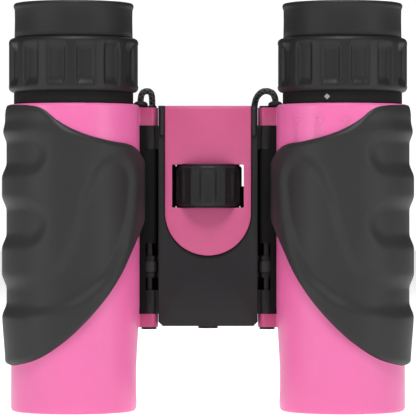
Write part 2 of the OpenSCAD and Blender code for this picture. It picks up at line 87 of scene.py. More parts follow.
class Wiring:
    """A new material's node tree, with short ways to add nodes and join them."""

    def __init__(self, name: str) -> None:
        """Starts a material whose shader reads its object's own coordinates."""
        self.material = bpy.data.materials.new(name)
        self.material.use_nodes = True
        self.nodes = self.material.node_tree.nodes
        self.shader = self.nodes["Principled BSDF"]
        self.place = self.nodes.new("ShaderNodeTexCoord")

    def node(self, kind: str, settings: dict[str, Any], sources: dict[str, Any]) -> Any:
        """Adds a node.

        Args:
            kind: The node's type, without its ShaderNode prefix.
            settings: Its properties, and the values of its sockets.
            sources: The outputs that feed its inputs.

        Returns:
            The new node.
        """
        made = self.nodes.new(f"ShaderNode{kind}")
        for key, value in settings.items():
            if hasattr(made, key):
                setattr(made, key, value)
            else:
                made.inputs[key].default_value = value
        for key, source in sources.items():
            self.join(source, made.inputs[key])
        return made

    def join(self, source: Any, target: Any) -> None:
        """Links one socket to another."""
        self.material.node_tree.links.new(source, target)

    def noise(self, size: float, detail: float = 3.0) -> Any:
        """Adds a noise whose features are about a given size, in millimetres."""
        where = {"Vector": self.place.outputs["Object"]}
        return self.node("TexNoise", {"Scale": 1.0 / (size * MM), "Detail": detail}, where)

    def shade(self, factor: Any, first: Point, second: Point) -> None:
        """Mixes two colours into the base colour."""
        mix = self.node("Mix", {"data_type": "RGBA"}, {"Factor": factor})
        mix.inputs["A"].default_value = (*first, 1.0)
        mix.inputs["B"].default_value = (*second, 1.0)
        self.join(mix.outputs["Result"], self.shader.inputs["Base Color"])

    def polish(self, factor: Any, low: float, high: float) -> None:
        """Varies the roughness between two values."""
        span = self.node("MapRange", {"To Min": low, "To Max": high}, {"Value": factor})
        self.join(span.outputs["Result"], self.shader.inputs["Roughness"])

    def paint_shade(self, span: Pair, colour: Point) -> None:
        """Paints shade, as a darker colour, between two distances from the middle, in millimetres."""
        split = self.node("SeparateXYZ", {}, {"Vector": self.place.outputs["Object"]})
        far = self.node("Math", {"operation": "ABSOLUTE"}, {})
        self.join(split.outputs["X"], far.inputs[0])
        near = self.node("Math", {"operation": "COMPARE"}, {})
        self.join(far.outputs["Value"], near.inputs[0])
        near.inputs[1].default_value = (span[0] + span[1]) / 2 * MM
        near.inputs[2].default_value = (span[1] - span[0]) / 2 * MM
        plain = self.shader.inputs["Base Color"].links[0].from_socket
        mix = self.node("Mix", {"data_type": "RGBA"}, {"Factor": near.outputs["Value"]})
        self.join(plain, mix.inputs["A"])
        mix.inputs["B"].default_value = (*colour, 1.0)
        self.join(mix.outputs["Result"], self.shader.inputs["Base Color"])

    def emboss(self, height: Any, strength: float, depth: float) -> None:
        """Raises a height as a bump, its depth in millimetres."""
        bump = self.node("Bump", {"Strength": strength, "Distance": depth * MM}, {"Height": height})
        self.join(bump.outputs["Normal"], self.shader.inputs["Normal"])

    def fix(self, **values: Any) -> None:
        """Sets the shader's own sockets, whose names are written with underscores."""
        for key, value in values.items():
            self.shader.inputs[key.replace("_", " ")].default_value = value


@dataclass(frozen=True)
class Finish:
    """A moulded, turned or cast surface with its own grain.

    Args:
        name: The finish's plain name.
        colour: Linear base colour.
        shade: Colour that it drifts towards in soft patches.
        roughness: Mean roughness.
        spread: How far the roughness varies about its mean.
        grain: Size of the surface grain, in millimetres.
        depth: Strength of the grain.
        metal: Whether it is bare metal.
        sheen: Level of its plain reflection.
        slot_name: The record's slot, where it isn't the finish's own name.
        painted_shade: Darker colour painted as shade on the part near the hinges, where it lies recessed,
            where there is one.
        painted_shade_span: How far from the middle that painted shade starts and ends, in millimetres.
        patch_size: Size of the soft patches, in millimetres.
    """

    name: str
    colour: Point
    shade: Point
    roughness: float = 0.5
    spread: float = 0.05
    grain: float = 0.3
    depth: float = 0.1
    metal: bool = False
    sheen: float = 0.5
    slot_name: str = ""
    # Painted shade: a darker base colour between two distances from the middle, for the recess by the
    # hinges.
    painted_shade: Point | None = None
    painted_shade_span: Pair = (0.0, 18.6)
    patch_size: float = 7.0

    @property
    def slot(self) -> str:
        """The record's slot for this finish, which is its own name unless one is given."""
        return self.slot_name or self.name

    def material(self) -> bpy.types.Material:
        """Returns the finish's material, made on first use."""
        known = bpy.data.materials.get(f"{self.name}_finish")
        if known:
            return known
        wiring = Wiring(f"{self.name}_finish")
        patches = wiring.noise(self.patch_size).outputs["Fac"]
        wiring.shade(patches, self.colour, self.shade)
        # Darkens the base colour by the hinges as painted shade.
        if self.painted_shade:
            wiring.paint_shade(self.painted_shade_span, self.painted_shade)
        wiring.polish(patches, self.roughness - self.spread, self.roughness + self.spread)
        wiring.emboss(wiring.noise(self.grain).outputs["Fac"], self.depth, self.grain * 0.4)
        wiring.fix(Metallic=float(self.metal), Specular_IOR_Level=self.sheen)
        return wiring.material


@dataclass(frozen=True)
class Braid:
    """Tubular braid, drawn on the cord's UV map: once round across, and its girths along.

    Args:
        name: The finish's plain name.
        dark: Colour between the strands.
        light: Colour of the strands.
        strands: Number of strands round the cord each way.
    """

    name: str
    dark: Point
    light: Point
    strands: int = 4

    @property
    def slot(self) -> str:
        """The record's slot for this finish."""
        return self.name

    def material(self) -> bpy.types.Material:
        """Returns the braid's material, made on first use."""
        known = bpy.data.materials.get(f"{self.name}_finish")
        if known:
            return known
        wiring = Wiring(f"{self.name}_finish")
        ways = [self.strands_leaning(wiring, lean) for lean in (1.0, -1.0)]
        crossing = wiring.node("Math", {"operation": "MAXIMUM"}, {})
        for socket, way in zip(crossing.inputs, ways):
            wiring.join(way, socket)
        height = crossing.outputs["Value"]
        wiring.shade(height, self.dark, self.light)
        wiring.polish(height, 0.75, 0.6)
        wiring.emboss(height, 0.8, 0.2)
        wiring.fix(Sheen_Weight=0.2)
        return wiring.material

    def strands_leaning(self, wiring: Wiring, lean: float) -> Any:
        """Draws the strands that lean one way round the cord.

        Args:
            wiring: The material being made.
            lean: Turns that a strand makes in one girth, with its sign.

        Returns:
            The output with the strands' height.
        """
        turn = wiring.node(
            "Mapping", {"Scale": (self.strands * math.tau, lean * self.strands * math.tau, 1.0)},
            {"Vector": wiring.place.outputs["UV"]})
        split = wiring.node("SeparateXYZ", {}, {"Vector": turn.outputs["Vector"]})
        total = wiring.node("Math", {"operation": "ADD"}, {})
        wiring.join(split.outputs["X"], total.inputs[0])
        wiring.join(split.outputs["Y"], total.inputs[1])
        wave = wiring.node("Math", {"operation": "SINE"}, {})
        wiring.join(total.outputs["Value"], wave.inputs[0])
        return wave.outputs["Value"]


@dataclass(frozen=True)
class Glass:
    """Coated optical glass.

    Args:
        name: The finish's plain name.
        colour: Colour of what shines through.
        tint: Colour that the coating gives to what it mirrors.
    """

    name: str
    colour: Point
    tint: Point

    @property
    def slot(self) -> str:
        """The record's slot for this finish."""
        return self.name

    def material(self) -> bpy.types.Material:
        """Returns the glass's material, made on first use."""
        known = bpy.data.materials.get(f"{self.name}_finish")
        if known:
            return known
        wiring = Wiring(f"{self.name}_finish")
        film = wiring.noise(11.0).outputs["Fac"]
        wiring.shade(film, self.colour, tuple(0.7 * c for c in self.colour))
        wiring.polish(film, 0.01, 0.05)
        wiring.fix(
            IOR=1.52, Transmission_Weight=0.8, Specular_Tint=(*self.tint, 1.0),
            Coat_Weight=0.6, Coat_Tint=(*self.tint, 1.0))
        return wiring.material


# The pink shell; its hinge arms, within 18.6 mm of the middle, get a darker pink as painted shade, since
# they lie recessed between the barrels.
PINK_SHELL = Finish(
    "pink_shell", (0.74, 0.152, 0.378), (0.71, 0.14, 0.352), 0.38, 0.03, 0.35, 0.03, sheen=0.4,
    painted_shade=(0.43, 0.058, 0.165))
# The cover plate: the shell's pink, darkened as painted shade for the plate recessed between the barrels.
PINK_PLATE_SHADED = Finish(
    "pink_plate", (0.58, 0.105, 0.245), (0.55, 0.097, 0.228), 0.45, 0.03, 0.35, 0.05, sheen=0.35)
BLACK_PLASTIC = Finish(
    "black_plastic", (0.016, 0.016, 0.017), (0.012, 0.012, 0.013), 0.55, sheen=0.35)
# Bridge black, painted near-black as shade between 13.45 and 22 mm from the middle, in the gaps by the
# hinges.
BRIDGE_BLACK = Finish(
    "bridge_black", (0.014, 0.014, 0.015), (0.011, 0.011, 0.012), 0.55, sheen=0.3,
    slot_name="black_plastic", painted_shade=(0.003, 0.003, 0.0032), painted_shade_span=(13.45, 22.0))
ARMOUR_RUBBER = Finish(
    "armour_rubber", (0.027, 0.027, 0.028), (0.021, 0.021, 0.022), 0.5, 0.04, 0.25, 0.08, sheen=0.25)
GRIP_RUBBER = Finish(
    "soft_rubber", (0.014, 0.014, 0.0145), (0.011, 0.011, 0.0115), 0.5, 0.04, 0.25, 0.08, sheen=0.3)
CUP_RUBBER = Finish(
    "eyecup_rubber", (0.015, 0.015, 0.0155), (0.012, 0.012, 0.0125), 0.55, 0.04, 0.25, 0.08,
    sheen=0.3)
INNER_BLACK = Finish("inner_black", (0.01, 0.01, 0.01), (0.006, 0.006, 0.006), 0.8)
# Black plastic painted near-black as the deep shade in the recesses by the hinges; worn by the hinge
# covers and the dust strips.
HINGE_SHADE_BLACK = Finish(
    "hinge_shade_black", (0.004, 0.004, 0.0042), (0.0025, 0.0025, 0.0027), 0.65, sheen=0.12,
    slot_name="black_plastic")
COLLAR_BLACK = Finish(
    "collar_black", (0.014, 0.014, 0.0145), (0.01, 0.01, 0.0105), 0.75, sheen=0.15,
    slot_name="black_plastic")
CAST_ALLOY = Finish(
    "cast_alloy", (0.03, 0.03, 0.032), (0.022, 0.022, 0.024), 0.55, 0.06, 0.2, 0.12, metal=True)
DARK_STEEL = Finish(
    "dark_steel", (0.03, 0.03, 0.032), (0.02, 0.02, 0.022), 0.4, 0.06, 0.15, metal=True,
    slot_name="bright_steel")
BRIGHT_STEEL = Finish(
    "bright_steel", (0.55, 0.55, 0.57), (0.45, 0.45, 0.47), 0.3, 0.08, 0.15, metal=True)
INDEX_PAINT = Finish(
    "index_paint", (0.35, 0.35, 0.36), (0.27, 0.27, 0.28), 0.6, slot_name="black_plastic")
STRAP_BRAID = Braid("strap_cord", (0.003, 0.003, 0.003), (0.05, 0.05, 0.052))
COATED_GLASS = Glass("coated_glass", (0.55, 0.75, 0.68), (0.45, 0.9, 0.7))
PRISM_GLASS = Glass("prism_glass", (0.85, 0.92, 0.93), (1.0, 1.0, 1.0))


# ---- Mesh tools ----


def smooth_step(low: float, high: float, value: float) -> float:
    """Rises smoothly from 0 at low to 1 at high."""
    share = min(max((value - low) / (high - low), 0.0), 1.0)
    return share * share * (3.0 - 2.0 * share)


def eased(share: float) -> float:
    """Spreads even steps of 0 to 1 so that they are finest at both ends."""
    return 0.5 - 0.5 * math.cos(math.pi * share)


def along(table: Sequence[Pair], where: float) -> float:
    """Reads a smooth curve that passes through a few (place, value) points.

    Args:
        table: The points, in rising order of place.
        where: The place to read.

    Returns:
        The value there, held level past either end.
    """
    if where <= table[0][0]:
        return table[0][1]
    if where >= table[-1][0]:
        return table[-1][1]
    last = len(table) - 1
    i = max(k for k in range(last) if table[k][0] <= where)

    def slope(k: int) -> float:
        """Slope of the curve at one of its points."""
        a, b = table[max(k - 1, 0)], table[min(k + 1, last)]
        return (b[1] - a[1]) / (b[0] - a[0])

    span = table[i + 1][0] - table[i][0]
    t = (where - table[i][0]) / span
    rise = 3 * t * t - 2 * t * t * t
    lead = (t - 2 * t * t + t * t * t) * span * slope(i)
    trail = (t * t * t - t * t) * span * slope(i + 1)
    return table[i][1] * (1 - rise) + table[i + 1][1] * rise + lead + trail


def flowing(points: Sequence[Point], step: float) -> list[Vector]:
    """Runs a smooth line through points.

    Args:
        points: The points that it passes through.
        step: Greatest distance between two points of the result.

    Returns:
        The line's points, ends included.
    """
    knots = [Vector(p) for p in points]
    line = [knots[0]]
    for i in range(len(knots) - 1):
        a, b = knots[i], knots[i + 1]
        before, after = knots[max(i - 1, 0)], knots[min(i + 2, len(knots) - 1)]
        parts = max(1, math.ceil((b - a).length / step))
        for k in range(1, parts + 1):
            t = k / parts
            line.append(0.5 * (
                2 * a + (b - before) * t + (2 * before - 5 * a + 4 * b - after) * t * t
                + (3 * a - before - 3 * b + after) * t * t * t))
    return line


def finished(
    name: str, bm: bmesh.types.BMesh, finish: Any, edge: Edge = Edge.SOFT
) -> bpy.types.Object:
    """Turns a bmesh into a smooth-shaded object with its finish.

    Args:
        name: Name of the new piece.
        bm: The mesh, which is freed.
        finish: The piece's finish.
        edge: Which of its edges are shaded sharp.

    Returns:
        The new object, linked to the scene.
    """
    bmesh.ops.recalc_face_normals(bm, faces=bm.faces[:])
    mesh = bpy.data.meshes.new(name)
    bm.to_mesh(mesh)
    bm.free()
    mesh.shade_smooth()
    mesh.set_sharp_from_angle(angle=math.radians(edge.value))
    mesh.materials.append(finish.material())
    piece = bpy.data.objects.new(name, mesh)
    bpy.context.scene.collection.objects.link(piece)
    return piece


def mounted(piece: bpy.types.Object, body: str, finish: Any, *nodes: str) -> bpy.types.Object:
    """Lets a piece ride on a body in place of its CAD nodes.

    Args:
        piece: The piece, already in place.
        body: The CAD body that it moves with.
        finish: The finish that it wears; not used.
        nodes: The CAD nodes that it stands for.

    Returns:
        The piece.
    """
    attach(piece, body)
    if nodes:
        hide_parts(*nodes)
    LOG.info("%s rides on %s, %d faces", piece.name, body, len(piece.data.polygons))
    return piece


def moulded(across: int, up: int, place: Callable[[float, float], Point]) -> bmesh.types.BMesh:
    """Wraps a flat grid into a moulded skin.

    Args:
        across: Number of cells across.
        up: Number of cells up.
        place: Gives a grid point's place in millimetres from its two shares, 0 to 1.

    Returns:
        The skin, with seams that meet merged.
    """
    bm = bmesh.new()
    bmesh.ops.create_grid(bm, x_segments=across, y_segments=up, size=0.5)
    for vert in bm.verts:
        vert.co = Vector(place(vert.co.x + 0.5, vert.co.y + 0.5)) * MM
    bmesh.ops.remove_doubles(bm, verts=bm.verts[:], dist=1e-6)
    return bm


def ring_skin(
    outline: Sequence[Pair], centre: Pair, steps: int,
    relief: Callable[[float, float, float], float]
) -> bmesh.types.BMesh:
    """Carries a closed outline round an upright axis, with a relief on it.

    Args:
        outline: The section's (radius, height) points, in millimetres.
        centre: Where the axis stands, in millimetres.
        steps: Number of steps round.
        relief: Gives a point's own radius from its angle, radius and height.

    Returns:
        The closed ring.
    """
    count = len(outline)

    def place(u: float, v: float) -> Point:
        """Puts one grid point on the ring."""
        angle = math.tau * u
        radius, height = outline[round(v * count) % count]
        radius = relief(angle, radius, height)
        return (centre[0] + radius * math.cos(angle), centre[1] + radius * math.sin(angle), height)

    return moulded(steps, count, place)


def turned(outline: Sequence[Pair], centre: Pair, steps: int = 96) -> bmesh.types.BMesh:
    """Spins a closed (radius, height) outline about an upright axis.

    Args:
        outline: The section's points, in millimetres.
        centre: Where the axis stands, in millimetres.
        steps: Number of steps round.

    Returns:
        The turned mesh.
    """
    bm = bmesh.new()
    start = [bm.verts.new(((centre[0] + r) * MM, centre[1] * MM, z * MM)) for r, z in outline]
    edges = [bm.edges.new((a, b)) for a, b in zip(start, start[1:] + start[:1])]
    bmesh.ops.spin(
        bm, geom=start + edges, cent=(centre[0] * MM, centre[1] * MM, 0.0), axis=(0, 0, 1),
        angle=math.tau, steps=steps, use_merge=True)
    return bm


def block(low: Point, high: Point, rounding: float) -> bmesh.types.BMesh:
    """Makes a box with rounded edges.

    Args:
        low: Its lowest corner, in millimetres.
        high: Its highest corner, in millimetres.
        rounding: Radius of its edges, in millimetres.

    Returns:
        The box.
    """
    bm = bmesh.new()
    bmesh.ops.create_cube(bm, size=1.0)
    size = Vector(high) - Vector(low)
    bmesh.ops.scale(bm, vec=size * MM, verts=bm.verts[:])
    bmesh.ops.translate(bm, vec=(Vector(low) + size / 2) * MM, verts=bm.verts[:])
    bmesh.ops.bevel(
        bm, geom=bm.edges[:], offset=rounding * MM, affect="EDGES", segments=4, profile=0.5,
        material=-1)
    return bm


def softened(node: str, width: float, finish: Any) -> bpy.types.Object:
    """Copies a CAD node and rounds its sharp edges.

    Args:
        node: The CAD node.
        width: Width of the rounding, in millimetres.
        finish: The piece's finish.

    Returns:
        The rounded piece.
    """
    bm = bmesh.new()
    bm.from_mesh(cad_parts[node].data)
    bmesh.ops.remove_doubles(bm, verts=bm.verts[:], dist=2e-6)
    bmesh.ops.dissolve_limit(
        bm, angle_limit=math.radians(1.0), verts=bm.verts[:], edges=bm.edges[:])
    sharp = [e for e in bm.edges if e.is_manifold and e.calc_face_angle(0.0) > math.radians(35)]
    bmesh.ops.bevel(
        bm, geom=sharp, offset=width * MM, affect="EDGES", segments=2, profile=0.5, material=-1,
        clamp_overlap=True)
    bmesh.ops.triangulate(bm, faces=[f for f in bm.faces if len(f.verts) > 4])
    return finished(f"{node}_moulded", bm, finish, Edge.CRISP)


# ---- Studio ----


@dataclass
class Studio:
    """Camera, soft lights, pale floor and white surroundings, in metres."""

    distance: float = 0.8
    eye_height: float = 0.055
    lens: float = 254.8
    floor_size: float = 6.0
    floor_glow: float = 0.75

    def build(self) -> None:
        """Sets up the camera, the lights, the floor and the world."""
        self.add_camera()
        self.add_floor()
        self.add_world()
        self.add_light("key_light", (0.0, -0.42, 0.85), 0.3, 6.5)
        self.add_light("left_light", (-0.8, -0.55, 0.2), 0.3, 1.8)
        self.add_light("right_light", (0.8, -0.55, 0.2), 0.3, 1.8)
        self.add_light("back_light", (0.0, 0.6, 0.8), 0.4, 3.0)
        bpy.context.scene.view_settings.view_transform = "Standard"
        LOG.info("studio: camera %.2f m in front", self.distance)

    def add_camera(self) -> None:
        """Stands a long lens square in front of the underside."""
        data = bpy.data.cameras.new("camera")
        data.lens = self.lens
        data.sensor_width = 36.0
        camera = bpy.data.objects.new("camera", data)
        camera.location = (0.0, -self.distance, self.eye_height)
        camera.rotation_euler = (math.radians(90), 0.0, 0.0)
        bpy.context.scene.collection.objects.link(camera)
        bpy.context.scene.camera = camera

    def add_floor(self) -> None:
        """Lays the floor, pale and faintly glowing so that it stays even."""
        bm = bmesh.new()
        bmesh.ops.create_grid(bm, x_segments=1, y_segments=1, size=self.floor_size / 2)
        mesh = bpy.data.meshes.new("floor")
        bm.to_mesh(mesh)
        bm.free()
        floor = bpy.data.objects.new("floor", mesh)
        bpy.context.scene.collection.objects.link(floor)
        wiring = Wiring("studio_floor")
        wiring.fix(
            Base_Color=(0.8, 0.8, 0.8, 1.0), Roughness=0.9, Emission_Color=(1.0, 1.0, 1.0, 1.0),
            Emission_Strength=self.floor_glow)
        mesh.materials.append(wiring.material)

    def add_light(self, name: str, place: Point, size: float, power: float) -> None:
        """Adds a soft square light that faces the binoculars.

        Args:
            name: The light's name.
            place: Where it stands, in metres.
            size: Length of its side, in metres.
            power: Its power, in watts.
        """
        data = bpy.data.lights.new(name, "AREA")
        data.size = size
        data.energy = power
        light = bpy.data.objects.new(name, data)
        light.location = place
        aim = Vector((0.0, 0.0, self.eye_height)) - Vector(place)
        light.rotation_euler = aim.to_track_quat("-Z", "Y").to_euler()
        bpy.context.scene.collection.objects.link(light)

    def add_world(self) -> None:
        """Surrounds the scene with white, which lights the piece more weakly than it looks."""
        world = bpy.data.worlds.new("surroundings")
        bpy.context.scene.world = world
        world.use_nodes = True
        nodes, links = world.node_tree.nodes, world.node_tree.links
        seen = nodes["Background"]
        seen.inputs["Color"].default_value = (1.0, 1.0, 1.0, 1.0)
        seen.inputs["Strength"].default_value = 1.05
        lit = nodes.new("ShaderNodeBackground")
        lit.inputs["Color"].default_value = (1.0, 1.0, 1.0, 1.0)
        lit.inputs["Strength"].default_value = 0.06
        ray = nodes.new("ShaderNodeLightPath")
        either = nodes.new("ShaderNodeMixShader")
        links.new(ray.outputs["Is Camera Ray"], either.inputs["Fac"])
        links.new(lit.outputs["Background"], either.inputs[1])
        links.new(seen.outputs["Background"], either.inputs[2])
        links.new(either.outputs["Shader"], nodes["World Output"].inputs["Surface"])


# ---- Strap ----


@dataclass
class Strap:
    """Braided neck cord from both strap lugs, its slack coiled and tied on the floor. Millimetres."""

    radius: float = 0.9
    sides: int = 12
    step: float = 0.9
    coil: Pair = (37.0, 39.0)
    coil_outer: float = 14.4
    coil_inner: float = 5.4
    coil_low: float = 1.3
    coil_high: float = 3.1
    left_lead: tuple[Point, ...] = (
        (-18.6, 12.6, 82.6), (-18.6, 12.6, 84.6), (-18.4, 12.7, 86.1), (-17.9, 12.8, 86.9),
        (-17.3, 12.9, 87.2), (-16.3, 13.1, 87.2), (-15.8, 13.3, 86.8), (-15.5, 13.5, 85.8),
        (-15.4, 13.8, 83.5), (-15.4, 14.3, 80), (-15.2, 15.2, 74), (-14.8, 16.3, 67),
        (-13.6, 17.1, 60), (-11.5, 17.2, 54), (-8.5, 17.2, 48.5), (-4.5, 17.2, 43.2),
        (0.5, 17.2, 38.2), (5.5, 17.2, 34), (10.5, 17.2, 31), (14.2, 16.9, 29.2), (16, 15.4, 28),
        (17.8, 14, 27.1), (19.3, 13.8, 27), (20.6, 14.9, 26.6), (21.6, 16.1, 24.4),
        (22.2, 17.4, 18), (22.2, 18.3, 11), (22, 19, 6), (21.9, 20.8, 2.3), (22, 24, 1.2),
        (22.3, 29, 1.3), (22.6, 34, 1.3), (22.6, 39, 1.3))
    left_tail: tuple[Point, ...] = (
        (51.4, 39, 3.1), (51.2, 34.5, 2.9), (50.2, 30, 2.4), (48, 25.8, 1.9), (44.5, 22.6, 1.9),
        (40.5, 21.2, 1.9), (37.5, 21, 1.9))
    right_run: tuple[Point, ...] = (
        (18.6, 12.6, 82.6), (18.6, 12.6, 84.6), (18.3, 12.7, 85.9), (17.8, 12.9, 86.7),
        (17.1, 13.1, 87.1), (16.1, 13.4, 87.3), (14.8, 14.1, 87), (13.4, 15.4, 85.4),
        (12.8, 16.5, 82.4), (12.7, 16.9, 77), (12.7, 17.1, 70), (12.7, 17.1, 62),
        (12.8, 17.1, 54), (13, 17.1, 46), (13.6, 17, 39), (15, 17, 34), (17.3, 16.6, 31),
        (20, 16.4, 29.4), (22.6, 17.4, 27), (24, 19, 23), (24.3, 19.8, 17), (24.4, 20, 11),
        (24.8, 20.2, 6), (26.6, 20.6, 2.5), (29.5, 21, 1.9))

    def build(self) -> None:
        """Makes the ferrule, the tie and both lengths of cord."""
        ferrule = self.ferrule()
        tie = self.tie()
        coil = self.wound(5.0, self.coil_outer, self.coil_inner, self.coil_low)
        coil += self.wound(4.5, self.coil_inner, self.coil_outer, self.coil_high)
        left = flowing([*self.left_lead, *coil, *self.left_tail], self.step)
        piece = self.cord("strap_left", left)
        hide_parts("strap_loop_left", "strap_cord_left", "strap_coil")
        right = flowing(self.right_run, self.step)
        piece = self.cord("strap_right", right)
        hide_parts("strap_loop_right", "strap_cord_right")

    def wound(self, turns: float, start: float, end: float, height: float) -> list[Point]:
        """Winds one layer of the coil, seen turning clockwise from above.

        Args:
            turns: Number of turns.
            start: Radius at which it starts, on the coil's -X side.
            end: Radius at which it ends.
            height: Height of the cord's middle.

        Returns:
            Points about every 15 degrees, without the first and last.
        """
        count = round(turns * 24)
        line = []
        for k in range(1, count):
            angle = math.pi - math.tau * turns * k / count
            reach = start + (end - start) * k / count
            line.append((
                self.coil[0] + reach * math.cos(angle), self.coil[1] + reach * math.sin(angle),
                height))
        return line

    def cord(
        self, name: str, line: Sequence[Vector]
    ) -> bpy.types.Object:
        """Sweeps the braid along a line.

        Args:
            name: The piece's name.
            line: The cord's middle, in millimetres.

        Returns:
            The cord.
        """
        count = len(line) - 1
        gone = [0.0]
        for a, b in zip(line, line[1:]):
            gone.append(gone[-1] + (b - a).length)
        crossings = self.crossings(line)
        bm = bmesh.new()
        layer = bm.loops.layers.uv.new("braid")
        bmesh.ops.create_grid(
            bm, x_segments=self.sides, y_segments=count, size=0.5, calc_uvs=True)
        for vert in bm.verts:
            row, angle = round((vert.co.y + 0.5) * count), math.tau * (vert.co.x + 0.5)
            across, over = crossings[row]
            out = across * math.cos(angle) + over * math.sin(angle)
            vert.co = (line[row] + out * self.radius) * MM
        for face in bm.faces:
            for loop in face.loops:
                u, v = loop[layer].uv
                loop[layer].uv = (u, gone[round(v * count)] / (math.tau * self.radius))
        bmesh.ops.remove_doubles(bm, verts=bm.verts[:], dist=1e-6)
        bmesh.ops.holes_fill(bm, edges=[e for e in bm.edges if e.is_boundary])
        piece = finished(name, bm, STRAP_BRAID)
        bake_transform(piece)
        LOG.info("%s: %.0f mm of cord", name, gone[-1])
        return piece

    def crossings(self, line: Sequence[Vector]) -> list[tuple[Vector, Vector]]:
        """Finds two directions across the cord at each point, without a twist from one to the next.

        Args:
            line: The cord's middle.

        Returns:
            The two directions at each point, square to the cord and to each other.
        """
        across = Vector((0.6, 0.8, 0.1))
        found = []
        for i in range(len(line)):
            ahead = (line[min(i + 1, len(line) - 1)] - line[max(i - 1, 0)]).normalized()
            across = (across - ahead * across.dot(ahead)).normalized()
            found.append((across, ahead.cross(across)))
        return found

    def ferrule(self) -> bpy.types.Object:
        """Makes the crimped tube that joins both ends of the cord."""
        low, high, y, z, reach = 29.5, 37.5, 21.0, 1.9, 1.88
        outline = [
            (0.92, 0.0), (reach - 0.25, 0.0), (reach, 0.25), (reach, 2.2), (reach - 0.22, 2.5),
            (reach - 0.22, 3.0), (reach, 3.3), (reach, 4.7), (reach - 0.22, 5.0),
            (reach - 0.22, 5.5), (reach, 5.8), (reach, high - low - 0.25),
            (reach - 0.25, high - low), (0.92, high - low)]
        bm = turned(outline, (0.0, 0.0), 32)
        for vert in bm.verts:
            vert.co = Vector((low * MM + vert.co.z, y * MM + vert.co.y, z * MM - vert.co.x))
        piece = finished("strap_ferrule_crimped", bm, BRIGHT_STEEL)
        return mounted(piece, "bridge", BRIGHT_STEEL, "strap_ferrule")

    def tie(self) -> bpy.types.Object:
        """Smooths the twist tie that holds the coil."""
        return mounted(softened("strap_tie", 0.12, BLACK_PLASTIC), "bridge", BLACK_PLASTIC, "strap_tie")


# ---- Barrels ----


